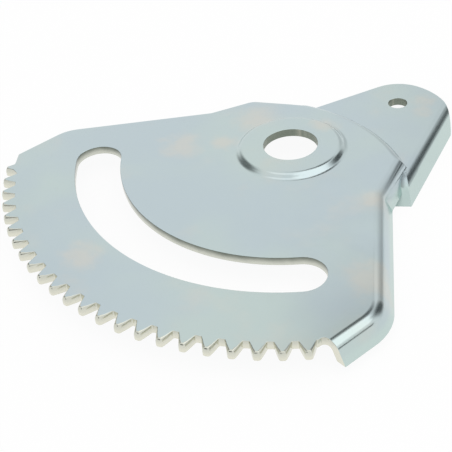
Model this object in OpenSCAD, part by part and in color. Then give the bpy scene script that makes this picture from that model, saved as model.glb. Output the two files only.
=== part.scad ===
// Sector gear pressed from one sheet of zinc-plated steel.
// Frame: origin on the pivot axis at the top face of the fan, +Z up, teeth towards -Y, arm towards +Y.
// Edges of the plate are straight lines, each given by the direction that it faces
// (degrees from +X) and its distance from the pivot.

/* [Sheet] */
// Thickness of the sheet
sheet_t = 4.7; // [3:0.1:6]

/* [Teeth] */
// Teeth that the full circle would have
full_teeth = 87; // [70:1:100]
// Teeth on the sector
tooth_count = 23; // [9:2:23]
// Module of the teeth
tooth_module = 3.63; // [3.4:0.01:3.8]
// Pressure angle of the flanks
pressure_angle = 20; // [18:0.5:22]
// Height of a tooth above the pitch circle
addendum = 3.5; // [2.5:0.1:4]
// Depth of a tooth below the pitch circle
dedendum = 4; // [3.5:0.1:4.5]
// Radius that rounds the corners of a tooth tip
tip_round = 1.4; // [0.4:0.1:1.6]
// Radius of the fillet at the root of a tooth
root_fillet = 0.8; // [0.3:0.1:1.2]
// Roll-over of the top edge at a tooth tip
tip_roll = 1.2; // [0.4:0.1:2]

/* [Pivot] */
// Diameter of the pivot bore
bore_d = 30.3; // [24:0.1:36]
// Diameter of the flat top of the raised boss
boss_d = 52; // [44:0.5:60]
// Height of the boss above the fan
boss_rise = 2.5; // [1:0.1:4]
// Width of the rounded shoulder round the boss
boss_shoulder = 6; // [4:0.5:9]

/* [Slot] */
// Radius of the middle of the slot
slot_r = 108.1; // [100:0.1:118]
// Width of the slot
slot_w = 25.4; // [16:0.1:30]
// Reach of the slot towards the heel, from the middle tooth
slot_heel_angle = 46.4; // [20:0.1:47]
// Reach of the slot towards the toe, from the middle tooth
slot_toe_angle = 45.4; // [20:0.1:46]

/* [Fan] */
// Direction that the long heel edge faces
heel_edge_dir = 139.8; // [137:0.1:142]
// Distance of the long heel edge from the pivot
heel_edge_off = 46.2; // [44:0.1:50]
// Direction that the short heel end faces
heel_end_dir = 175.6; // [172:0.1:178]
// Direction that the toe edge faces
toe_dir = -4.3; // [-8:0.1:-1]
// Distance from the pivot at which the toe edge starts to bend
toe_off = 123.4; // [121:0.1:126]
// Direction that the long toe-side edge faces
side_dir = 39.2; // [37:0.1:42]
// Distance from the pivot at which the toe-side edge starts to bend
side_off = 45.4; // [44:0.1:48]
// Radius of the fan's outer corners
fan_corner_r = 21; // [10:0.5:30]
// Width of the plain land beside the first tooth
land_w = 9; // [6:0.1:14]
// Height of the plain land above the roots of the teeth
land_rise = 2.4; // [1:0.1:4]
// Height at which the toe flange is cut off, along its own edge
toe_cut = -92; // [-95:0.5:-86]
// Radius in the corner of the toe cut
toe_cut_r = 2.5; // [1:0.1:4]

/* [Shoulders] */
// Direction that the heel shoulder's lower edge faces
shoulder_dir = 155.8; // [152:0.1:158]
// Distance of the shoulder's lower edge from the pivot
shoulder_off = 55.8; // [54:0.1:57]
// Direction that the shoulder's upper edge faces
crown_dir = 119.3; // [116:0.1:123]
// Distance of the shoulder's upper edge from the pivot
crown_off = 44.4; // [43:0.1:44.8]
// Radius of the shoulder's corner
shoulder_r = 9; // [4:0.5:14]

/* [Arm] */
// Place of the arm's hole across the sector
hole_x = 13.5; // [10:0.5:18]
// Place of the arm's hole behind the pivot
hole_y = 77.6; // [74:0.1:82]
// Diameter of the arm's hole
hole_d = 11; // [8:0.1:14]
// Radius of the arm's round end
arm_end_r = 21.9; // [19:0.1:24]
// Direction that the arm's plain edge faces
arm_plain_dir = 160.2; // [157:0.1:163]
// Direction that the arm's flanged edge faces
arm_side_dir = 19.7; // [18:0.1:22]
// Distance from the pivot at which the arm's flanged edge starts to bend
arm_side_off = 63.3; // [61:0.1:66]
// Width by which the arm's flanged edge stands out from the fan
ear_step = 6.3; // [4:0.1:8]
// Direction that the front edge of the arm faces
step_dir = -53; // [-56:0.5:-50]
// Distance from the pivot at which the front edge starts to bend
step_off = 12.1; // [11:0.1:13]
// Flare of the front wall, as a multiple of the flange's own
step_flare = 2; // [1.6:0.1:2.2]
// Radius in the corner between the arm and the crown
arm_root_r = 5; // [2:0.5:10]

/* [Arm offset] */
// Drop of the arm below the fan
arm_drop = 4.5; // [3:0.1:5]
// Slope of the sheet between fan and arm
drop_angle = 58; // [45:1:70]
// Inner radius of the bend at the top of the slope
drop_bend_r = 1; // [0.5:0.1:2]
// Radius of the curve along which the sheet steps down
drop_line_r = 91.6; // [91.5:0.1:93]
// Centre of that curve across the sector
drop_line_x = 2.9; // [1:0.1:5]
// Centre of that curve in front of the pivot
drop_line_y = -51.6; // [-54:0.1:-50]

/* [Flange] */
// Angle through which the flange is bent down
bend_angle = 62; // [55:1:70]
// Inner radius of the bend
bend_r = 2.5; // [1.5:0.1:4]
// Length of the flat face of the flange
flange_face = 8; // [6:0.1:10]
// Radius of the wide arc that ends the flange at the tip of the arm
flange_end_r = 40; // [36:0.5:44]
// Direction from the arm's hole at which that arc goes over into the round end
flange_end_dir = 96; // [92:0.5:100]

/* [Hidden] */
$fn = 96;

steel = [0.73, 0.79, 0.82];
rim_dir = 270;
tooth_step = 360 / full_teeth;
pitch_r = tooth_module * full_teeth / 2;
base_r = pitch_r * cos(pressure_angle);
tip_r = pitch_r + addendum;
root_r = pitch_r - dedendum;
land_r = root_r + land_rise;
flank_points = 3;
round_points = 3;
curve_points = 5;
bend_points = 6;
crest_points = 4;
slot_points = 40;
end_points = 20;
corner_steps = 6;
arc_step = 5;

bend_outer_r = bend_r + sheet_t;
flange_reach = bend_outer_r * sin(bend_angle) + flange_face * cos(bend_angle);
flange_drop = bend_outer_r * (1 - cos(bend_angle)) + flange_face * sin(bend_angle);
flange_room = 3 * flange_reach;
ear_off = arm_side_off - ear_step;

// Angles about its centre between which the drop curve runs
drop_line_from = 30;
drop_line_to = 120;

// Depth and width that reach past the whole part
deep = 40;
far = 250;

hole = [hole_x, hole_y];

// Unit vector in a direction
function unit(dir) = [cos(dir), sin(dir)];

// Distance of a point along a direction
function along(p, dir) = p * unit(dir);

// Corner where two edges meet, each given by its direction and distance
function meet(dir_a, off_a, dir_b, off_b) =
    [off_a * sin(dir_b) - off_b * sin(dir_a), off_b * cos(dir_a) - off_a * cos(dir_b)] / sin(dir_b - dir_a);

// Centre of the arc of radius r that rounds a corner between two edges, negative r in an inner corner
function round_centre(dir_a, off_a, dir_b, off_b, r) = meet(dir_a, off_a - r, dir_b, off_b - r);

// Points of that arc, from the first edge to the second
function rounded(dir_a, off_a, dir_b, off_b, r) =
    let (centre = round_centre(dir_a, off_a, dir_b, off_b, r))
    arc_points(centre, r, dir_a, dir_b);

// Points along an arc between two directions from its centre
function arc_points(centre, r, from, to) =
    let (count = ceil(abs(to - from) / arc_step))
    [for (i = [0:count]) centre + r * unit(from + (to - from) * i / count)];

// Point turned about the origin
function turned(p, turn) = [p[0] * cos(turn) - p[1] * sin(turn), p[0] * sin(turn) + p[1] * cos(turn)];

// Height of a smooth step made of two equal arcs, at a share of its run from 0 to 1
function step_height(run, rise, share) =
    let (half_turn = 2 * atan(rise / run))
    let (r = run / (2 * sin(half_turn)))
    let (u = run * share)
    share < 0.5 ? r - sqrt(r * r - u * u) : rise - r + sqrt(r * r - (run - u) * (run - u));

// Points down or up a smooth step that starts at a radius and a height
function step_points(start_r, start_z, run, rise) =
    [for (i = [0:2 * curve_points])
        let (share = i / (2 * curve_points))
        [start_r + run * share, start_z + sign(rise) * step_height(run, abs(rise), share)]];

function reversed(list) = [for (i = [len(list) - 1:-1:0]) list[i]];
function without_first(list) = [for (i = [1:len(list) - 1]) list[i]];
function lowered(list, depth) = [for (p = list) [p[0], p[1] - depth]];

// Involute function in degrees
function involute(angle) = tan(angle) * 180 / PI - angle;

// Half of the angle that a tooth fills at radius r
function half_tooth(r) = 90 / full_teeth + involute(pressure_angle) - involute(acos(base_r / r));

// Slope of a flank at radius r, from the middle line of the tooth
function flank_slope(r) = acos(base_r / r) - half_tooth(r);

// Right half of a tooth that points along +Y, from root to tip
function half_tooth_points() =
    let (root_slope = flank_slope(root_r), tip_slope = flank_slope(tip_r))
    let (root_w = root_r * sin(half_tooth(root_r)), tip_w = tip_r * sin(half_tooth(tip_r)))
    let (fillet_x = root_w + root_fillet * (1 - sin(root_slope)) / cos(root_slope))
    let (fillet_y = sqrt(root_r * root_r - fillet_x * fillet_x) + root_fillet)
    let (round_x = tip_w - tip_round * (1 - sin(tip_slope)) / cos(tip_slope))
    let (low_r = root_r + root_fillet, high_r = tip_r - tip_round)
    concat(
        [for (i = [0:round_points])
            [fillet_x, fillet_y] + root_fillet * unit(270 - (90 - root_slope) * i / round_points)],
        [for (i = [1:flank_points - 1])
            let (r = low_r + (high_r - low_r) * i / flank_points)
            r * unit(90 - half_tooth(r))],
        [for (i = [0:round_points])
            [round_x, tip_r - tip_round] + tip_round * unit(tip_slope + (90 - tip_slope) * i / round_points)]);

// Outline of the tooth at a direction, from heel to toe
function tooth_points(dir) =
    let (right = half_tooth_points())
    let (left = [for (p = reversed(right)) [-p[0], p[1]]])
    [for (p = concat(right, left)) turned(p, dir - 90)];

first_tooth = rim_dir - (tooth_count - 1) / 2 * tooth_step;

// All teeth, with the first one's foot left off where the plain land covers it
teeth_points = [for (i = [0:tooth_count - 1])
    for (p = tooth_points(first_tooth + i * tooth_step))
        if (i > 0 || norm(p) > land_r) p];

// Plain land up to the flank of the first tooth, and the distance of the heel end at which it starts
land_to = first_tooth - half_tooth(land_r);
land_from = land_to - land_w / land_r * 180 / PI;
land_points = arc_points([0, 0], land_r, land_from, land_to);
heel_end_off = along(land_points[0], heel_end_dir);

// Wall beside the last tooth and cut end of the toe flange, in the frame of the toe edge
toe_wall = turned(teeth_points[len(teeth_points) - 1], -toe_dir)[0];
toe_cut_points = [for (p = concat(
        arc_points([toe_wall + toe_cut_r, toe_cut - toe_cut_r], toe_cut_r, 180, 90),
        [[toe_off + flange_room, toe_cut]]))
    turned(p, toe_dir)];

// Distance of the arm's plain edge, which touches the round end
arm_plain_off = along(hole, arm_plain_dir) + arm_end_r;

// Centre of the wide arc at the arm's tip, which touches the round end from outside
flange_end = hole - (flange_end_r - arm_end_r) * unit(flange_end_dir);

// Whole outline of the sheet, wide enough on the flanged sides for the flange
outline = concat(
    land_points,
    teeth_points,
    toe_cut_points,
    [meet(toe_dir, toe_off + flange_room, side_dir, side_off + flange_room),
     meet(side_dir, side_off + flange_room, arm_side_dir, along(flange_end, arm_side_dir) + flange_end_r)],
    arc_points(flange_end, flange_end_r, arm_side_dir, flange_end_dir),
    without_first(arc_points(hole, arm_end_r, flange_end_dir, arm_plain_dir)),
    rounded(arm_plain_dir, arm_plain_off, crown_dir, crown_off, -arm_root_r),
    rounded(crown_dir, crown_off, shoulder_dir, shoulder_off, shoulder_r),
    [meet(shoulder_dir, shoulder_off, heel_edge_dir, heel_edge_off)],
    rounded(heel_edge_dir, heel_edge_off, heel_end_dir, heel_end_off, fan_corner_r));

// Edges tangent to the arc of radius r that rounds the corner between two edges, with those two.
// Each edge has its direction, its distance and its flare.
function corner_edges(dir_a, off_a, dir_b, off_b, r) =
    let (centre = round_centre(dir_a, off_a, dir_b, off_b, r))
    [for (i = [0:corner_steps])
        let (dir = dir_a + (dir_b - dir_a) * i / corner_steps)
        [dir, along(centre, dir) + r, 1]];

// Edges of the fan and of the arm in order, closed by far edges
fan_edges = concat(
    [[180, far, 1], [270, far, 1]],
    corner_edges(toe_dir, toe_off, side_dir, side_off, fan_corner_r),
    [[arm_side_dir, ear_off, 1], [90, far, 1]]);
arm_edges = [
    [180, far, 1],
    [step_dir, step_off, step_flare],
    [arm_side_dir, arm_side_off, 1],
    [90, far, 1]];

// Line of one skin of the bent sheet, inset from the top face, outwards and down to a depth
function skin_line(inset, depth) =
    let (arc = [for (i = [0:bend_points])
        [0, -bend_outer_r] + (bend_outer_r - inset) * unit(90 - bend_angle * i / bend_points)])
    let (fall = depth + arc[bend_points][1])
    concat(arc, [arc[bend_points] + fall / sin(bend_angle) * unit(-bend_angle)]);

// Distance of an edge moved outwards on a skin, one sheet thick also where it flares
function moved(edge, out, inset) =
    let (steep = atan(tan(bend_angle) / edge[2]))
    edge[1] + edge[2] * out + inset * (edge[2] / sin(bend_angle) - 1 / sin(steep));

// Corners of a form on a skin with its edges moved outwards, at one height
function ring(edges, out, height, inset) =
    [for (i = [0:len(edges) - 1])
        let (before = edges[i == 0 ? len(edges) - 1 : i - 1], edge = edges[i])
        let (p = meet(before[0], moved(before, out, inset), edge[0], moved(edge, out, inset)))
        [p[0], p[1], height]];

// Solid under one skin of the sheet, bent down along its edges
module bent_form(edges, inset, depth) {
    line = skin_line(inset, depth);
    sides = len(edges);
    rings = len(line);
    points = [for (p = line) each ring(edges, p[0], p[1], inset)];
    walls = [for (k = [0:rings - 2], i = [0:sides - 1])
        let (next = (i + 1) % sides)
        [k * sides + i, k * sides + next, (k + 1) * sides + next, (k + 1) * sides + i]];
    top = [for (i = [0:sides - 1]) (sides - i) % sides];
    bottom = [for (i = [0:sides - 1]) (rings - 1) * sides + i];
    polyhedron(points, concat([top], walls, [bottom]));
}

// Room beyond the curve at which the fan's skin slopes down to the arm
module drop_cut(inset) {
    crest_r = drop_bend_r + sheet_t - inset;
    crest = [for (i = [0:crest_points])
        [drop_line_r, -drop_bend_r - sheet_t] + crest_r * unit(90 - drop_angle * i / crest_points)];
    start = 2 * crest[0] - crest[1];
    foot = crest[crest_points] + deep * unit(-drop_angle);
    translate([drop_line_x, drop_line_y])
        rotate(drop_line_from)
            rotate_extrude(angle = drop_line_to - drop_line_from)
                polygon(concat(
                    [start],
                    [for (i = [1:crest_points]) crest[i]],
                    [foot, [far, foot[1]], [far, start[1]]]));
}

module fan_form(inset, depth) {
    difference() {
        bent_form(fan_edges, inset, depth);
        drop_cut(inset);
    }
}

module arm_form(inset, depth) {
    translate([0, 0, -arm_drop])
        bent_form(arm_edges, inset, depth);
}

// Solid under one skin of the raised boss, down to a depth inside the fan
module boss_form(inset, depth) {
    shoulder = lowered(step_points(boss_d / 2, boss_rise, boss_shoulder, -boss_rise), inset);
    last = len(shoulder) - 1;
    rim = 2 * shoulder[last] - shoulder[last - 1];
    rotate_extrude()
        polygon(concat([[0, boss_rise - inset]], shoulder, [rim, [rim[0], -depth], [0, -depth]]));
}

// The whole sheet with its boss, flange and drop, wider than the plan on the edges that stay flat
module pressed_sheet() {
    difference() {
        union() {
            fan_form(0, flange_drop);
            boss_form(0, sheet_t);
            arm_form(0, flange_drop);
        }
        fan_form(sheet_t, deep);
        boss_form(sheet_t, deep);
        arm_form(sheet_t, deep);
    }
}

module sheet_plan() {
    difference() {
        polygon(outline);
        circle(d = bore_d);
        slot_plan();
        translate(hole) circle(d = hole_d);
    }
}

// Slot along an arc, with round ends
module slot_plan() {
    heel = rim_dir - slot_heel_angle;
    toe = rim_dir + slot_toe_angle;
    half_w = slot_w / 2;
    steps = [0:slot_points];
    ends = [0:end_points];
    polygon(concat(
        [for (i = steps) (slot_r + half_w) * unit(heel + (toe - heel) * i / slot_points)],
        [for (i = ends) slot_r * unit(toe) + half_w * unit(toe + 180 * i / end_points)],
        [for (i = steps) (slot_r - half_w) * unit(toe + (heel - toe) * i / slot_points)],
        [for (i = ends) slot_r * unit(heel) + half_w * unit(heel + 180 + 180 * i / end_points)]));
}

// Disc whose upper rim is rolled over at the tooth tips
module rolled_disc() {
    arc = [for (i = [0:round_points])
        [tip_r - tip_roll, -tip_roll] + tip_roll * unit(90 - 90 * i / round_points)];
    start = 2 * arc[0] - arc[1];
    end = 2 * arc[round_points] - arc[round_points - 1];
    rotate_extrude()
        polygon(concat(
            [[0, deep], [start[0], deep], start],
            [for (i = [1:round_points - 1]) arc[i]],
            [end, [far, end[1]], [far, -deep], [0, -deep]]));
}

module sector_gear() {
    color(steel) {
        intersection() {
            pressed_sheet();
            translate([0, 0, -deep]) linear_extrude(2 * deep) sheet_plan();
            rolled_disc();
        }
    }
}

sector_gear();
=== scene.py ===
# Looks of the sector gear: one pressed sheet of zinc-plated steel on a plain white studio floor.
# Everything is in metres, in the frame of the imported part: pivot axis on Z, teeth towards -Y, arm towards +Y.
import math

import bmesh
import bpy
from mathutils import Matrix, Vector
from mathutils.bvhtree import BVHTree
from mathutils.geometry import delaunay_2d_cdt


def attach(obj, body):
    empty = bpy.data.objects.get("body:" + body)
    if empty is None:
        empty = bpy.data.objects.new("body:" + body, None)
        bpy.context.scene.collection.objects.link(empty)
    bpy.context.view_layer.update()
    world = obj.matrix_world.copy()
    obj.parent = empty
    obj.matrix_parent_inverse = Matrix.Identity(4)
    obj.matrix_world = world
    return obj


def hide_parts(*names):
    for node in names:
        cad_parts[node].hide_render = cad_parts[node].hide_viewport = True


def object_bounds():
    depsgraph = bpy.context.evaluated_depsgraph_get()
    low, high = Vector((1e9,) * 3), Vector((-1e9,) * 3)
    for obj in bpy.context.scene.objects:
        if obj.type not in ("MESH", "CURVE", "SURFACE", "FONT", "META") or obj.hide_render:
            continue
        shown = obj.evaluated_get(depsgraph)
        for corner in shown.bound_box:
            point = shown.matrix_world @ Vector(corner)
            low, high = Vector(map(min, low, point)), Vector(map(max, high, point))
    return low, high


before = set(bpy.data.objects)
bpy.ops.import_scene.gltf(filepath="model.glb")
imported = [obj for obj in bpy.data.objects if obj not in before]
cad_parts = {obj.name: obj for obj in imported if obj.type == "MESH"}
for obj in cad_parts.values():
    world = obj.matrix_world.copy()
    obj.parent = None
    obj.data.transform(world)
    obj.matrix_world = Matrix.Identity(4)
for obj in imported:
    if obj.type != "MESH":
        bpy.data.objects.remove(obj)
cad_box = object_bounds()

MM = 0.001

# Photograph: width of the square frame in pixels, and the camera that sees it
PHOTO_PX = 452
FOCAL_PX = 1101.4
SENSOR_MM = 36
CLIP_START = 0.01
CAMERA_PLACE = Vector((359.6, -361.3, 343.1)) * MM
CAMERA_RIGHT = Vector((0.69977, 0.70838, -0.09227))
CAMERA_UP = Vector((-0.38540, 0.48312, 0.78617))

# Pressed edges: the punch side rolls over a little, the die side keeps a small break
ROLLED_EDGE = 0.16 * MM
BROKEN_EDGE = 0.12 * MM
EDGE_SEGMENTS = 2
EDGE_ANGLE = math.radians(34)

# Upright share of the normals of the two faces that meet at an edge on the punch side
PUNCH_TOP_TILT = 0.6
PUNCH_WALL_TILT = 0.35

# Cleaning of the solid's mesh: angle between faces that count as one, gap between points that count as one,
# and how far from level height a face of the flat top may lie
FLAT_ANGLE = math.radians(0.6)
MERGE_GAP = 0.002 * MM
TOP_SLACK = 5 * MERGE_GAP

# Level faces outweigh the bends beside them, so that their reflections stay flat
FACE_STRENGTH = "__mod_weightednormals_faceweight"
STRONG_FACE = 16384
LEVEL_FACE = 0.9999

# Upright share of the normals, at most, of walls that the press tool sheared,
# and of the rolled edges above them on the teeth
SHEARED_TILT = 0.3
ROLLED_TILT = 0.97

# Places of the finishes in the piece's list of materials
SKIN_FINISH = 0
SHEARED_FINISH = 1
BORE_FINISH = 2
FRONT_WALL_FINISH = 3

# Teeth: their circles and the room inside the roots that still counts, the number on a full circle,
# the angle from one to the next, the middle one's direction and how many stand each side of it
TIP_R = 161.405 * MM
ROOT_R = 153.905 * MM
ROOT_SLACK = 0.3 * MM
FULL_TEETH = 87
TOOTH_STEP = 2 * math.pi / FULL_TEETH
MIDDLE_TOOTH = math.radians(-90)
TEETH_EACH_SIDE = 11

# Roll of the top edge of the teeth: its width and depth at the tips, the power that widens it from the roots,
# how soon it turns from the roots towards a tooth's core, the core left at a tip and the steps of its round
TOOTH_ROLL = 1.6 * MM
TIP_DEPTH = 3.2 * MM
ROLL_GROWTH = 0.5
CORE_TURN = 3
TIP_CORE = 2.0 * MM
ROLL_STEPS = 6

# Roll that the solid's own tooth tips have, the slack in finding it,
# and the gap between points that the fill of the top takes as one
SOLID_ROLL = 1.2 * MM
TIP_SLACK = 0.05 * MM
FILL_GAP = 1e-8

# Round walls of the two bores: middle and radius to just outside the wall
BORES = (((0, 0), 16 * MM), ((13.5 * MM, 77.6 * MM), 6 * MM))

# Wall at the front of the arm: the direction that it faces and how closely, its middle, its reach,
# the height that it stays below, and the least lean of its faces
FRONT_DIR = math.radians(-53)
FRONT_MATCH = 0.85
FRONT_MIDDLE = (66 * MM, 0)
FRONT_REACH = 30 * MM
FRONT_TOP = -4 * MM
FRONT_LEAN = 0.1

# Bend along the arm: the direction that it faces, where it starts, and where its faces are cut
ARM_SIDE_DIR = math.radians(19.7)
ARM_OUT = Vector((math.cos(ARM_SIDE_DIR), math.sin(ARM_SIDE_DIR)))
ARM_BEND_OFF = 63.3 * MM
ARM_CUTS = (8 * MM, 10 * MM, 14 * MM)

# Warm patches of the passivated film: middle across and along the part, and reach, in mm
WARM_PATCHES = (
    (-51, -36, 17), (-34, -20, 11), (-18, -135, 15), (-35, 9, 18), (1, 27, 11), (66, -8, 10), (105, -56, 20),
    (24, 88, 11), (30, 79, 10))

# Border of a warm patch: how uneven it is, where it starts and ends, and the share of the film in its middle
PATCH_UNEVEN = 1.5
PATCH_INNER = 0.85
PATCH_OUTER = 1.75
PATCH_SHARE = 0.55

# Heights between which the film of the fan turns into the greener one of the flange, and its share there
FLANGE_FILM_TOP = -5.2 * MM
FLANGE_FILM_LOW = -9 * MM
FLANGE_FILM = 0.9

# Sheet thickness of the fan, and the shear marks on its walls: where the burnish band starts and ends (its
# darker colour towards the top is painted shade), how far it wanders, and how far inside the roots the paler
# tooth flanks start
SHEET = 4.7 * MM
BURNISH_LOW = -0.7 * SHEET
BURNISH_TOP = 0.3 * SHEET
BURNISH_WANDER = 2 * MM
FLANK_START = 4 * MM

# Roughness of the finishes at their smoothest and dullest
SKIN_ROUGHNESS = (0.14, 0.2)
SHEAR_ROUGHNESS = (0.12, 0.22)
BORE_ROUGHNESS = (0.3, 0.45)
FRONT_WALL_ROUGHNESS = (0.5, 0.6)


def srgb(red, green, blue):
    """Linear colour of a picture colour given from 0 to 255."""
    def one(value):
        share = value / 255
        return share / 12.92 if share <= 0.04045 else ((share + 0.055) / 1.055) ** 2.4
    return (one(red), one(green), one(blue), 1.0)


# Colours of the plating, as it looks under plain white light
PLATE_BLUE = srgb(188, 202, 207)
PLATE_GREEN = srgb(193, 208, 204)
PLATE_ROSE = srgb(211, 207, 197)
FLANGE_GREEN = srgb(195, 212, 208)
SHEAR_CREAM = srgb(210, 212, 201)
# Painted shade: the darker top of the sheared walls
SHEAR_PAINTED_SHADE = srgb(108, 115, 106)
FLANK_CREAM = srgb(227, 226, 211)
# Painted shade: the darker top of the tooth flanks
FLANK_PAINTED_SHADE = srgb(202, 204, 193)
# Painted shade: the dark base colour of the bore walls stands in for the shade inside the bores
BORE_PAINTED_SHADE = srgb(134, 142, 130)
BORE_PALE = srgb(172, 174, 160)

# Colours of the studio
FLOOR_WHITE = (0.93, 0.93, 0.93, 1.0)
FLAG_GREY = (0.035, 0.045, 0.045, 1.0)
SURROUND_GREY = (0.9, 0.9, 0.9, 1.0)
PLAIN_WHITE = (1.0, 1.0, 1.0, 1.0)

# Floor: the share of its look that is plain white, so that the shadow stays faint, its half width
# and its gap under the part
FLOOR_GLOW = 0.92
FLOOR_HALF = 6.0
FLOOR_GAP = 0.1 * MM

# Studio: how far the softboxes and the flags stand from the pivot,
# and the share of a flag that has its full thickness
LAMP_DISTANCE = 1.6
FLAG_DISTANCE = 1.5
FLAG_CORE = 0.2

# Corners of a two unit square
SQUARE = ((-1, -1), (1, -1), (1, 1), (-1, 1))

# Distance between neighbouring nodes in the editor
NODE_SPACING = 200


def add_node(tree, kind, place, **settings):
    """A node of a tree at a place in its editor, with its own properties set."""
    node = tree.nodes.new(kind)
    node.location = (place[0] * NODE_SPACING, place[1] * NODE_SPACING)
    for name, value in settings.items():
        setattr(node, name, value)
    return node


def set_inputs(node, **values):
    """Values of a node's unlinked inputs, by name with underscores for spaces."""
    for name, value in values.items():
        node.inputs[name.replace("_", " ")].default_value = value


def mix_colours(tree, place, share, first, second):
    """Colour between two others, which are sockets or plain colours."""
    node = add_node(tree, "ShaderNodeMix", place, data_type="RGBA", clamp_factor=True)
    for socket, value in ((node.inputs[0], share), (node.inputs[6], first), (node.inputs[7], second)):
        if isinstance(value, bpy.types.NodeSocket):
            tree.links.new(value, socket)
        else:
            socket.default_value = value
    return node.outputs[2]


def ramp_value(tree, place, value, low, high, to_low=0.0, to_high=1.0):
    """Smooth share of a value between two limits."""
    node = add_node(tree, "ShaderNodeMapRange", place, interpolation_type="SMOOTHSTEP")
    set_inputs(node, From_Min=low, From_Max=high, To_Min=to_low, To_Max=to_high)
    tree.links.new(value, node.inputs["Value"])
    return node.outputs["Result"]


def new_group(name, inputs, outputs):
    """Empty shader group with named inputs and outputs, and its two end nodes."""
    group = bpy.data.node_groups.new(name, "ShaderNodeTree")
    for label, kind, value in inputs:
        socket = group.interface.new_socket(label, in_out="INPUT", socket_type=kind)
        socket.default_value = value
    for label, kind in outputs:
        group.interface.new_socket(label, in_out="OUTPUT", socket_type=kind)
    start = add_node(group, "NodeGroupInput", (-8, 0))
    end = add_node(group, "NodeGroupOutput", (4, 0))
    return group, start, end


def noise(tree, place, vector, scale, detail, roughness=0.5):
    """Soft noise over a vector socket."""
    node = add_node(tree, "ShaderNodeTexNoise", place)
    set_inputs(node, Scale=scale, Detail=detail, Roughness=roughness)
    tree.links.new(vector, node.inputs["Vector"])
    return node.outputs["Fac"]


def shifted(tree, place, vector, offset, stretch=(1, 1, 1)):
    """Vector socket moved and stretched, so that two noises don't repeat each other."""
    node = add_node(tree, "ShaderNodeMapping", place)
    node.inputs["Location"].default_value = offset
    node.inputs["Scale"].default_value = stretch
    tree.links.new(vector, node.inputs["Vector"])
    return node.outputs["Vector"]


def plating_tint_group():
    """Clouds of thin passivated film over the zinc: cool blue, faint green and warm rose."""
    group, start, end = new_group(
        "plating_tint",
        [("Vector", "NodeSocketVector", (0, 0, 0)),
         ("Rose", "NodeSocketFloat", 0.5),
         ("Green", "NodeSocketFloat", 0.5)],
        [("Colour", "NodeSocketColor")])
    vector = start.outputs["Vector"]
    rose_noise = noise(group, (-6, 1), vector, scale=22, detail=4, roughness=0.62)
    rose_cloud = ramp_value(group, (-4, 1), rose_noise, low=0.52, high=0.74)
    green_vector = shifted(group, (-7, -1), vector, (0.4, 0.1, 0.7))
    green_noise = noise(group, (-6, -1), green_vector, scale=12, detail=3)
    green_cloud = ramp_value(group, (-4, -1), green_noise, low=0.42, high=0.66)
    shares = []
    for row, (cloud, label) in enumerate(((green_cloud, "Green"), (rose_cloud, "Rose"))):
        share = add_node(group, "ShaderNodeMath", (-2, row), operation="MULTIPLY")
        group.links.new(cloud, share.inputs[0])
        group.links.new(start.outputs[label], share.inputs[1])
        shares.append(share.outputs[0])
    greenish = mix_colours(group, (0, 0), shares[0], PLATE_BLUE, PLATE_GREEN)
    tinted = mix_colours(group, (2, 0), shares[1], greenish, PLATE_ROSE)
    group.links.new(tinted, end.inputs["Colour"])
    return group


def sheet_grain_group():
    """Fine unevenness of rolled and plated sheet, as a height and a share of roughness."""
    group, start, end = new_group(
        "sheet_grain",
        [("Vector", "NodeSocketVector", (0, 0, 0)),
         ("Smooth", "NodeSocketFloat", 0.3),
         ("Dull", "NodeSocketFloat", 0.4)],
        [("Height", "NodeSocketFloat"), ("Roughness", "NodeSocketFloat")])
    vector = start.outputs["Vector"]
    fine = noise(group, (-6, 1), vector, scale=1400, detail=3, roughness=0.6)
    along_rolling = shifted(group, (-7, 0), vector, (0, 0, 0), stretch=(1, 0.12, 1))
    rolling = noise(group, (-6, 0), along_rolling, scale=900, detail=2)
    height = add_node(group, "ShaderNodeMath", (-3, 1), operation="ADD")
    group.links.new(fine, height.inputs[0])
    group.links.new(rolling, height.inputs[1])
    patch_noise = noise(group, (-6, -1), vector, scale=40, detail=5, roughness=0.6)
    patches = ramp_value(group, (-4, -1), patch_noise, low=0.3, high=0.7)
    blend = add_node(group, "ShaderNodeMapRange", (-2, -1))
    group.links.new(patches, blend.inputs["Value"])
    group.links.new(start.outputs["Smooth"], blend.inputs["To Min"])
    group.links.new(start.outputs["Dull"], blend.inputs["To Max"])
    group.links.new(height.outputs[0], end.inputs["Height"])
    group.links.new(blend.outputs["Result"], end.inputs["Roughness"])
    return group


def film_patch_group():
    """Share of one soft round patch with an uneven border."""
    group, start, end = new_group(
        "film_patch",
        [("Vector", "NodeSocketVector", (0, 0, 0)),
         ("Middle", "NodeSocketVector", (0, 0, 0)),
         ("Reach", "NodeSocketFloat", 0.01)],
        [("Share", "NodeSocketFloat")])
    vector = start.outputs["Vector"]
    gap = add_node(group, "ShaderNodeVectorMath", (-5, 1), operation="DISTANCE")
    group.links.new(vector, gap.inputs[0])
    group.links.new(start.outputs["Middle"], gap.inputs[1])
    ratio = add_node(group, "ShaderNodeMath", (-4, 1), operation="DIVIDE")
    group.links.new(gap.outputs["Value"], ratio.inputs[0])
    group.links.new(start.outputs["Reach"], ratio.inputs[1])
    uneven = add_node(group, "ShaderNodeMath", (-3, 0), operation="MULTIPLY_ADD")
    uneven.inputs[1].default_value = PATCH_UNEVEN
    border = noise(group, (-5, 0), vector, scale=90, detail=4, roughness=0.6)
    group.links.new(border, uneven.inputs[0])
    group.links.new(ratio.outputs[0], uneven.inputs[2])
    share = ramp_value(group, (-1, 0), uneven.outputs[0], PATCH_INNER, PATCH_OUTER, PATCH_SHARE, 0.0)
    group.links.new(share, end.inputs["Share"])
    return group


TINT = plating_tint_group()
GRAIN = sheet_grain_group()
PATCH = film_patch_group()


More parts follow.
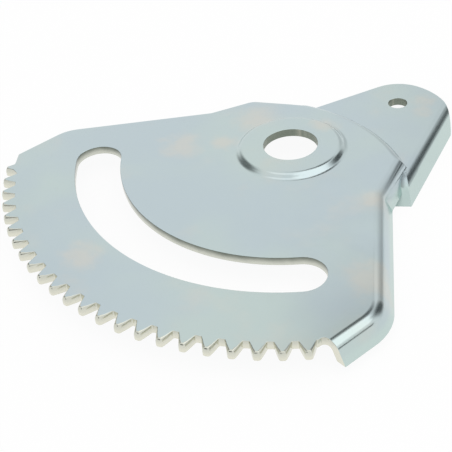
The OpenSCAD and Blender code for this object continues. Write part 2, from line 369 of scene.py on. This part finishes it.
def new_material(name, metallic):
    """Material with its object coordinates and its own Principled shader."""
    material = bpy.data.materials.new(name)
    material.use_nodes = True
    tree = material.node_tree
    tree.nodes.clear()
    output = add_node(tree, "ShaderNodeOutputMaterial", (6, 0))
    shader = add_node(tree, "ShaderNodeBsdfPrincipled", (4, 0))
    set_inputs(shader, Metallic=metallic)
    tree.links.new(shader.outputs["BSDF"], output.inputs["Surface"])
    coordinates = add_node(tree, "ShaderNodeTexCoord", (-6, 0))
    return material, tree, shader, coordinates.outputs["Object"]


def place_group(tree, place, group, vector, **values):
    """Instance of a shader group that reads a vector, with its own values."""
    node = add_node(tree, "ShaderNodeGroup", place, node_tree=group)
    tree.links.new(vector, node.inputs["Vector"])
    set_inputs(node, **values)
    return node


def place_grain(tree, vector, roughness):
    """Grain of the sheet in a material, between the two ends of its roughness."""
    smooth, dull = roughness
    return place_group(tree, (0, -1), GRAIN, vector, Smooth=smooth, Dull=dull)


def distance_out(tree, place, vector):
    """Distance of a point from the pivot axis."""
    flat = add_node(tree, "ShaderNodeVectorMath", place, operation="MULTIPLY")
    flat.inputs[1].default_value = (1, 1, 0)
    tree.links.new(vector, flat.inputs[0])
    out = add_node(tree, "ShaderNodeVectorMath", (place[0] + 1, place[1]), operation="LENGTH")
    tree.links.new(flat.outputs["Vector"], out.inputs[0])
    return out.outputs["Value"]


def bump(tree, place, height, shader, strength, distance):
    """Small relief that tilts a shader's normal."""
    node = add_node(tree, "ShaderNodeBump", place)
    set_inputs(node, Strength=strength, Distance=distance)
    tree.links.new(height, node.inputs["Height"])
    tree.links.new(node.outputs["Normal"], shader.inputs["Normal"])


def zinc_sheet_material(name, roughness):
    """Plated skin of the sheet, between a smooth and a dull roughness."""
    material, tree, shader, vector = new_material(name, metallic=0.92)
    tint = place_group(tree, (0, 1), TINT, vector, Rose=0.3, Green=0.8)
    grain = place_grain(tree, vector, roughness)
    split = add_node(tree, "ShaderNodeSeparateXYZ", (-4, 0))
    tree.links.new(vector, split.inputs["Vector"])
    height = split.outputs["Z"]
    low = ramp_value(tree, (-2, 0), height, FLANGE_FILM_LOW, FLANGE_FILM_TOP, FLANGE_FILM, 0.0)
    film = mix_colours(tree, (1, 0), low, tint.outputs["Colour"], FLANGE_GREEN)
    warm = None
    for step, (across, along, reach) in enumerate(WARM_PATCHES):
        middle = (across * MM, along * MM, 0)
        patch = place_group(tree, (step - 4, 3), PATCH, vector, Middle=middle, Reach=reach * MM)
        if warm is None:
            warm = patch.outputs["Share"]
            continue
        either = add_node(tree, "ShaderNodeMath", (step - 4, 2), operation="MAXIMUM")
        tree.links.new(warm, either.inputs[0])
        tree.links.new(patch.outputs["Share"], either.inputs[1])
        warm = either.outputs[0]
    tinted = mix_colours(tree, (3, 1), warm, film, PLATE_ROSE)
    tree.links.new(tinted, shader.inputs["Base Color"])
    tree.links.new(grain.outputs["Roughness"], shader.inputs["Roughness"])
    bump(tree, (2, -1), grain.outputs["Height"], shader, strength=0.05, distance=0.03 * MM)
    return material


def sheared_edge_material():
    """Plated wall left by the press tool, a burnish band above a torn one, darkened towards its top with
    painted shade, and paler on the teeth.
    """
    material, tree, shader, vector = new_material("sheared_edge", metallic=0.9)
    grain = place_grain(tree, vector, SHEAR_ROUGHNESS)
    split = add_node(tree, "ShaderNodeSeparateXYZ", (-4, 1))
    tree.links.new(vector, split.inputs["Vector"])
    wander = noise(tree, (-4, 2), vector, scale=120, detail=3)
    depth = add_node(tree, "ShaderNodeMath", (-2, 1), operation="MULTIPLY_ADD")
    depth.inputs[1].default_value = BURNISH_WANDER
    tree.links.new(wander, depth.inputs[0])
    tree.links.new(split.outputs["Z"], depth.inputs[2])
    # Share of the top band of the walls, which gets the painted shade
    burnished_shade = ramp_value(tree, (-1, 1), depth.outputs[0], BURNISH_LOW, BURNISH_TOP)
    down_wall = shifted(tree, (-5, 3), vector, (0, 0, 0), stretch=(1, 1, 0.04))
    streaks = noise(tree, (-4, 3), down_wall, scale=1300, detail=2)
    # Top band in the painted-shade colours, lower part in the paler ones
    banded = mix_colours(tree, (1, 1), burnished_shade, SHEAR_CREAM, SHEAR_PAINTED_SHADE)
    flanks = mix_colours(tree, (1, 2), burnished_shade, FLANK_CREAM, FLANK_PAINTED_SHADE)
    out = distance_out(tree, (-1, 3), vector)
    toothed = ramp_value(tree, (1, 3), out, ROOT_R - FLANK_START, ROOT_R)
    coloured = mix_colours(tree, (2, 1), toothed, banded, flanks)
    tree.links.new(coloured, shader.inputs["Base Color"])
    tree.links.new(grain.outputs["Roughness"], shader.inputs["Roughness"])
    bump(tree, (2, -1), streaks, shader, strength=0.2, distance=0.05 * MM)
    return material


def bore_wall_material():
    """Wall of the bores: dull, darkened with painted shade that stands in for the shade inside them, with a few
    paler drag marks.
    """
    material, tree, shader, vector = new_material("bore_wall", metallic=0.75)
    grain = place_grain(tree, vector, BORE_ROUGHNESS)
    down_wall = shifted(tree, (-5, 1), vector, (0, 0, 0), stretch=(1, 1, 0.06))
    drags = noise(tree, (-4, 1), down_wall, scale=260, detail=3)
    paler = ramp_value(tree, (-2, 1), drags, low=0.5, high=0.75)
    # Base colour of the bore walls is painted shade, broken by paler drag marks
    coloured = mix_colours(tree, (1, 1), paler, BORE_PAINTED_SHADE, BORE_PALE)
    tree.links.new(coloured, shader.inputs["Base Color"])
    tree.links.new(grain.outputs["Roughness"], shader.inputs["Roughness"])
    bump(tree, (2, -1), drags, shader, strength=0.2, distance=0.05 * MM)
    return material


def in_bore(face):
    """Whether a face belongs to the wall of one of the bores."""
    middle = face.calc_center_median().xy
    return any((middle - Vector(centre)).length < reach for centre, reach in BORES)


def on_front_wall(face):
    """Whether a face belongs to the wall that closes the front of the arm, which the press left dull."""
    middle = face.calc_center_median()
    level = Vector(face.normal.xy)
    if min(level.length, face.normal.z) < FRONT_LEAN or middle.z > FRONT_TOP:
        return False
    away = level.normalized().dot(Vector((math.cos(FRONT_DIR), math.sin(FRONT_DIR))))
    return away > FRONT_MATCH and (middle.xy - Vector(FRONT_MIDDLE)).length < FRONT_REACH


def finish_of(face):
    """Place of a face's finish in the list of materials."""
    if abs(face.normal.z) < SHEARED_TILT:
        # Bore walls take the finish whose dark colour is painted shade
        return BORE_FINISH if in_bore(face) else SHEARED_FINISH
    if 0 < face.normal.z < ROLLED_TILT and on_teeth(face.calc_center_median().xy):
        return SHEARED_FINISH
    return FRONT_WALL_FINISH if on_front_wall(face) else SKIN_FINISH


def mark_edges(mesh):
    """Give each outer edge the share of the rolled edge that the press leaves on it."""
    weights = mesh.edges.layers.float.new("bevel_weight_edge")
    for edge in mesh.edges:
        if len(edge.link_faces) != 2 or edge.calc_face_angle_signed(0.0) < EDGE_ANGLE:
            continue
        heights = [face.normal.z for face in edge.link_faces]
        from_above = max(heights) > PUNCH_TOP_TILT and min(heights) < PUNCH_WALL_TILT
        edge[weights] = 1.0 if from_above else BROKEN_EDGE / ROLLED_EDGE


def tooth_step_of(point):
    """Number of the tooth that is nearest to a point of the rim, counted from the middle one."""
    return round((math.atan2(point.y, point.x) - MIDDLE_TOOTH) / TOOTH_STEP)


def on_teeth(point):
    """Whether a point lies in the room of the teeth, from the roots outwards."""
    return point.length > ROOT_R - ROOT_SLACK and abs(tooth_step_of(point)) <= TEETH_EACH_SIDE


def flatten_tips(mesh):
    """Raise the solid's own rolled tooth tips to the top face, so that one roll can follow the outline."""
    reach = SOLID_ROLL + TIP_SLACK
    for vert in mesh.verts:
        rolled = vert.co.z > -reach and vert.co.xy.length > TIP_R - reach
        if rolled and on_teeth(vert.co.xy):
            vert.co.z = 0
    bmesh.ops.dissolve_degenerate(mesh, dist=MERGE_GAP, edges=mesh.edges)


def roll_of(point):
    """Width and depth of the rolled edge at a point of the tooth outline, and the way in from there."""
    share = min(max((point.length - ROOT_R) / (TIP_R - ROOT_R), 0), 1)
    width = ROLLED_EDGE + (TOOTH_ROLL - ROLLED_EDGE) * share ** ROLL_GROWTH
    turn = MIDDLE_TOOTH + tooth_step_of(point) * TOOTH_STEP
    axis = Vector((math.cos(turn), math.sin(turn)))
    core = axis * min(point.dot(axis), TIP_R - TIP_CORE)
    flank = min(CORE_TURN * share, 1)
    inward = (core - point).normalized() * flank - point.normalized() * (1 - flank)
    return width, width + (TIP_DEPTH - TOOTH_ROLL) * share, inward.normalized()


def is_flat_top(face):
    """Whether a face belongs to the flat top of the fan."""
    return all(abs(vert.co.z) < TOP_SLACK for vert in face.verts)


def rolled_row(mesh, vert):
    """Points of the roll at one corner of the outline, from the wall up to the top face."""
    point = Vector(vert.co.xy)
    width, depth, inward = roll_of(point)
    vert.co.z = -depth
    row = [vert]
    for step in range(1, ROLL_STEPS + 1):
        turn = math.pi / 2 * step / ROLL_STEPS
        level = point + inward * width * (1 - math.cos(turn))
        row.append(mesh.verts.new((level.x, level.y, depth * (math.sin(turn) - 1))))
    return row


def seen_height(sheet, point):
    """Height of the first face under a point, looking straight down."""
    hit = sheet.ray_cast((point.x, point.y, SHEET), (0, 0, -1))[0]
    return -SHEET if hit is None else hit.z


def fill_top(mesh, sheet, border):
    """Close the flat top inside its border, which is a list of pairs of points, and leave its holes open."""
    verts = list(dict.fromkeys(vert for pair in border for vert in pair))
    rolled = BVHTree.FromBMesh(mesh)
    numbers = {vert: number for number, vert in enumerate(verts)}
    pairs = [(numbers[first], numbers[second]) for first, second in border]
    filled = delaunay_2d_cdt([vert.co.xy for vert in verts], pairs, [], 0, FILL_GAP)
    faces = []
    for triangle in filled[2]:
        corners = [verts[filled[3][number][0]] for number in triangle]
        middle = sum((vert.co.xy for vert in corners), Vector((0, 0))) / 3
        over_sheet = abs(seen_height(sheet, middle)) < TOP_SLACK
        if over_sheet and seen_height(rolled, middle) < -TIP_DEPTH - TIP_SLACK:
            faces.append(mesh.faces.new(corners))
    mesh.normal_update()
    inner = list(dict.fromkeys(edge for face in faces for edge in face.edges))
    corners = list(dict.fromkeys(vert for face in faces for vert in face.verts))
    bmesh.ops.dissolve_limit(mesh, angle_limit=FLAT_ANGLE, verts=corners, edges=inner)


def roll_tooth_edges(mesh):
    """Roll the top edge of the teeth over, further towards their tips."""
    sheet = BVHTree.FromBMesh(mesh)
    top = dict.fromkeys(face for face in mesh.faces if is_flat_top(face))
    border = [edge for edge in mesh.edges if sum(face in top for face in edge.link_faces) == 1]
    bmesh.ops.delete(mesh, geom=list(top), context="FACES")
    toothed = [edge for edge in border if all(on_teeth(vert.co.xy) for vert in edge.verts)]
    plain = set(border) - set(toothed)
    ends = {vert for edge in plain for vert in edge.verts}
    corners = dict.fromkeys(vert for edge in border for vert in edge.verts)
    rows = {vert: [vert] * (ROLL_STEPS + 1) for vert in corners}
    for edge in toothed:
        for vert in edge.verts:
            if vert not in ends and rows[vert][-1] is vert:
                rows[vert] = rolled_row(mesh, vert)
    for edge in toothed:
        first, second = (rows[vert] for vert in edge.verts)
        for low in range(ROLL_STEPS):
            around = dict.fromkeys((first[low], first[low + 1], second[low + 1], second[low]))
            if len(around) > 2:
                mesh.faces.new(list(around))
    border_pairs = [[rows[vert][-1] for vert in edge.verts] for edge in border]
    fill_top(mesh, sheet, border_pairs)
    bmesh.ops.recalc_face_normals(mesh, faces=mesh.faces)


def cut_arm_bend(mesh):
    """Cut the arm's long bend close to its front corner, which then tilts no reflection further on."""
    along = Vector((-math.sin(ARM_SIDE_DIR), math.cos(ARM_SIDE_DIR), 0))
    for offset in ARM_CUTS:
        near = [face for face in mesh.faces if face.calc_center_median().xy.dot(ARM_OUT) > ARM_BEND_OFF]
        parts = dict.fromkeys(near)
        for face in near:
            parts.update(dict.fromkeys(face.edges))
            parts.update(dict.fromkeys(face.verts))
        place = along * offset
        bmesh.ops.bisect_plane(mesh, geom=list(parts), dist=MERGE_GAP, plane_co=place, plane_no=along)


def pressed_sheet_piece(node, materials):
    """Copy of the solid with clean faces, rolled edges and its four finishes."""
    data = node.data.copy()
    data.name = "pressed_sheet"
    data.materials.clear()
    for material in materials:
        data.materials.append(material)
    mesh = bmesh.new()
    mesh.from_mesh(data)
    bmesh.ops.remove_doubles(mesh, verts=mesh.verts, dist=MERGE_GAP)
    flatten_tips(mesh)
    bmesh.ops.dissolve_limit(mesh, angle_limit=FLAT_ANGLE, verts=mesh.verts, edges=mesh.edges)
    mesh.normal_update()
    roll_tooth_edges(mesh)
    cut_arm_bend(mesh)
    mesh.normal_update()
    strength = mesh.faces.layers.int.new(FACE_STRENGTH)
    for face in mesh.faces:
        face.smooth = True
        face.material_index = finish_of(face)
        face[strength] = STRONG_FACE if abs(face.normal.z) > LEVEL_FACE else 0
    mark_edges(mesh)
    mesh.to_mesh(data)
    mesh.free()
    data.set_sharp_from_angle(angle=EDGE_ANGLE)
    piece = bpy.data.objects.new("pressed_sheet", data)
    bpy.context.collection.objects.link(piece)
    roll = piece.modifiers.new("rolled_edges", "BEVEL")
    roll.limit_method = "WEIGHT"
    roll.width = ROLLED_EDGE
    roll.segments = EDGE_SEGMENTS
    roll.use_clamp_overlap = False
    level = piece.modifiers.new("flat_faces", "WEIGHTED_NORMAL")
    level.keep_sharp = True
    level.use_face_influence = True
    return piece


def add_camera():
    """Camera of the photograph."""
    data = bpy.data.cameras.new("photo_camera")
    data.sensor_width = SENSOR_MM
    data.lens = FOCAL_PX / PHOTO_PX * SENSOR_MM
    data.clip_start = CLIP_START
    camera = bpy.data.objects.new("photo_camera", data)
    right = CAMERA_RIGHT.normalized()
    back = right.cross(CAMERA_UP).normalized()
    turn = Matrix((right, back.cross(right), back)).transposed().to_4x4()
    camera.matrix_world = Matrix.Translation(CAMERA_PLACE) @ turn
    bpy.context.collection.objects.link(camera)
    bpy.context.scene.camera = camera


def towards(azimuth, elevation, distance):
    """Point of the studio in a direction from the pivot, in degrees and metres."""
    turn = math.radians(azimuth)
    lift = math.radians(elevation)
    level = distance * math.cos(lift)
    return Vector((level * math.cos(turn), level * math.sin(turn), distance * math.sin(lift)))


def facing(place):
    """Turn that points an object's -Z axis from its place to the pivot."""
    return (-place).to_track_quat("-Z", "Y")


def add_softbox(name, place, width, height, radiance):
    """Rectangular area lamp that faces the pivot, as bright as its radiance says."""
    data = bpy.data.lights.new(name, "AREA")
    data.shape = "RECTANGLE"
    data.size = width
    data.size_y = height
    data.energy = radiance * math.pi * width * height
    lamp = bpy.data.objects.new(name, data)
    lamp.location = place
    lamp.rotation_euler = facing(place).to_euler()
    lamp.visible_camera = False
    bpy.context.collection.objects.link(lamp)


def plain_plane(name, corners, material):
    """Single flat face of the studio, which isn't part of the object."""
    data = bpy.data.meshes.new(name)
    data.from_pydata(corners, [], [(0, 1, 2, 3)])
    data.materials.append(material)
    plane = bpy.data.objects.new(name, data)
    bpy.context.collection.objects.link(plane)
    return plane


def flag_material(name, thickness):
    """Cloth of a studio flag, thinning out to nothing at the borders of a two unit square."""
    material = bpy.data.materials.new(name)
    material.use_nodes = True
    tree = material.node_tree
    tree.nodes.clear()
    output = add_node(tree, "ShaderNodeOutputMaterial", (4, 0))
    blend = add_node(tree, "ShaderNodeMixShader", (3, 0))
    open_air = add_node(tree, "ShaderNodeBsdfTransparent", (1, 1))
    cloth = add_node(tree, "ShaderNodeBsdfDiffuse", (1, -1))
    cloth.inputs["Color"].default_value = FLAG_GREY
    split = add_node(tree, "ShaderNodeSeparateXYZ", (-4, 0))
    coordinates = add_node(tree, "ShaderNodeTexCoord", (-5, 0))
    tree.links.new(coordinates.outputs["Object"], split.inputs["Vector"])
    thick = add_node(tree, "ShaderNodeMath", (0, 0), operation="MULTIPLY")
    for row, axis in enumerate("XY"):
        size = add_node(tree, "ShaderNodeMath", (-3, row), operation="ABSOLUTE")
        tree.links.new(split.outputs[axis], size.inputs[0])
        fading = ramp_value(tree, (-2, row), size.outputs[0], FLAG_CORE, 1.0, 1.0, 0.0)
        tree.links.new(fading, thick.inputs[row])
    share = add_node(tree, "ShaderNodeMath", (1, 0), operation="MULTIPLY")
    share.inputs[1].default_value = thickness
    tree.links.new(thick.outputs[0], share.inputs[0])
    tree.links.new(share.outputs[0], blend.inputs["Fac"])
    tree.links.new(open_air.outputs["BSDF"], blend.inputs[1])
    tree.links.new(cloth.outputs["BSDF"], blend.inputs[2])
    tree.links.new(blend.outputs["Shader"], output.inputs["Surface"])
    return material


def add_flag(name, place, width, height, material):
    """Dark card that only reflections see, which gives the bends of the sheet their dark bands."""
    flag = plain_plane(name, [(across, along, 0) for across, along in SQUARE], material)
    flag.matrix_world = Matrix.LocRotScale(place, facing(place), Vector((width / 2, height / 2, 1)))
    flag.visible_camera = False
    flag.visible_diffuse = False
    flag.visible_transmission = False
    flag.visible_shadow = False


def white_to_sight(tree, place):
    """Share that is 1 for what the camera sees, straight or in a reflection."""
    path = add_node(tree, "ShaderNodeLightPath", place)
    seen = path.outputs["Is Camera Ray"]
    for step, ray in enumerate(("Is Glossy Ray", "Is Transmission Ray")):
        either = add_node(tree, "ShaderNodeMath", (place[0] + 1 + step, place[1]), operation="MAXIMUM")
        tree.links.new(seen, either.inputs[0])
        tree.links.new(path.outputs[ray], either.inputs[1])
        seen = either.outputs[0]
    return seen


def floor_material():
    """Pale paper, mostly plain white to sight but still able to carry the shadow."""
    material = bpy.data.materials.new("floor_paper")
    material.use_nodes = True
    tree = material.node_tree
    tree.nodes.clear()
    output = add_node(tree, "ShaderNodeOutputMaterial", (3, 0))
    blend = add_node(tree, "ShaderNodeMixShader", (2, 0))
    paper = add_node(tree, "ShaderNodeBsdfDiffuse", (0, -1))
    paper.inputs["Color"].default_value = FLOOR_WHITE
    glow = add_node(tree, "ShaderNodeEmission", (0, 1))
    share = add_node(tree, "ShaderNodeMath", (1, 2), operation="MULTIPLY")
    share.inputs[1].default_value = FLOOR_GLOW
    tree.links.new(white_to_sight(tree, (-3, 2)), share.inputs[0])
    tree.links.new(share.outputs[0], blend.inputs["Fac"])
    tree.links.new(paper.outputs["BSDF"], blend.inputs[1])
    tree.links.new(glow.outputs["Emission"], blend.inputs[2])
    tree.links.new(blend.outputs["Shader"], output.inputs["Surface"])
    return material


def add_floor(height):
    """Wide pale floor under the part."""
    corners = [(FLOOR_HALF * across, FLOOR_HALF * along, height) for across, along in SQUARE]
    plain_plane("floor", corners, floor_material())


def set_world():
    """Even studio surround, plain white to sight."""
    world = bpy.data.worlds.new("studio")
    bpy.context.scene.world = world
    world.use_nodes = True
    tree = world.node_tree
    tree.nodes.clear()
    output = add_node(tree, "ShaderNodeOutputWorld", (3, 0))
    blend = add_node(tree, "ShaderNodeMixShader", (2, 0))
    surround = add_node(tree, "ShaderNodeBackground", (0, -1))
    set_inputs(surround, Color=SURROUND_GREY, Strength=1.0)
    white = add_node(tree, "ShaderNodeBackground", (0, 1))
    set_inputs(white, Color=PLAIN_WHITE, Strength=1.0)
    tree.links.new(white_to_sight(tree, (-3, 0)), blend.inputs["Fac"])
    tree.links.new(surround.outputs["Background"], blend.inputs[1])
    tree.links.new(white.outputs["Background"], blend.inputs[2])
    tree.links.new(blend.outputs["Shader"], output.inputs["Surface"])


add_camera()
set_world()
add_floor(cad_box[0][2] - FLOOR_GAP)

# Softboxes: place by azimuth and elevation, width, height and radiance
add_softbox("overhead_softbox", towards(37, 62, LAMP_DISTANCE), 1.35, 1.5, 0.5)
add_softbox("top_softbox", towards(215, 80, LAMP_DISTANCE), 0.7, 0.7, 0.3)
add_softbox("front_softbox", towards(280, 50, LAMP_DISTANCE), 0.5, 0.4, 0.5)

# Flags: place by azimuth and elevation, width, height and cloth
black_cloth = flag_material("black_flag", 1.0)
dark_cloth = flag_material("dark_flag", 0.88)
grey_cloth = flag_material("grey_flag", 0.3)
add_flag("back_flag", towards(70, 25, FLAG_DISTANCE), 1.35, 1.9, black_cloth)
add_flag("wall_flag", towards(108, 19, FLAG_DISTANCE), 1.2, 1.2, grey_cloth)
add_flag("left_flag", towards(196, 32, FLAG_DISTANCE), 1.8, 1.6, dark_cloth)
add_flag("high_flag", towards(110, 55, FLAG_DISTANCE), 1.05, 0.7, black_cloth)
add_flag("right_flag", towards(24, 19, FLAG_DISTANCE), 0.8, 0.3, black_cloth)
add_flag("front_flag", towards(281, 26, FLAG_DISTANCE), 1.7, 1.1, black_cloth)

# Finishes of the sheet, in the order of their places
FINISHES = [
    zinc_sheet_material("zinc_sheet", SKIN_ROUGHNESS),
    sheared_edge_material(),
    bore_wall_material(),
    zinc_sheet_material("dull_front_wall", FRONT_WALL_ROUGHNESS)]
sheet = pressed_sheet_piece(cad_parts["sector_gear"], FINISHES)
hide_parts("sector_gear")
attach(sheet, "root")

bpy.context.scene.view_settings.view_transform = "Standard"
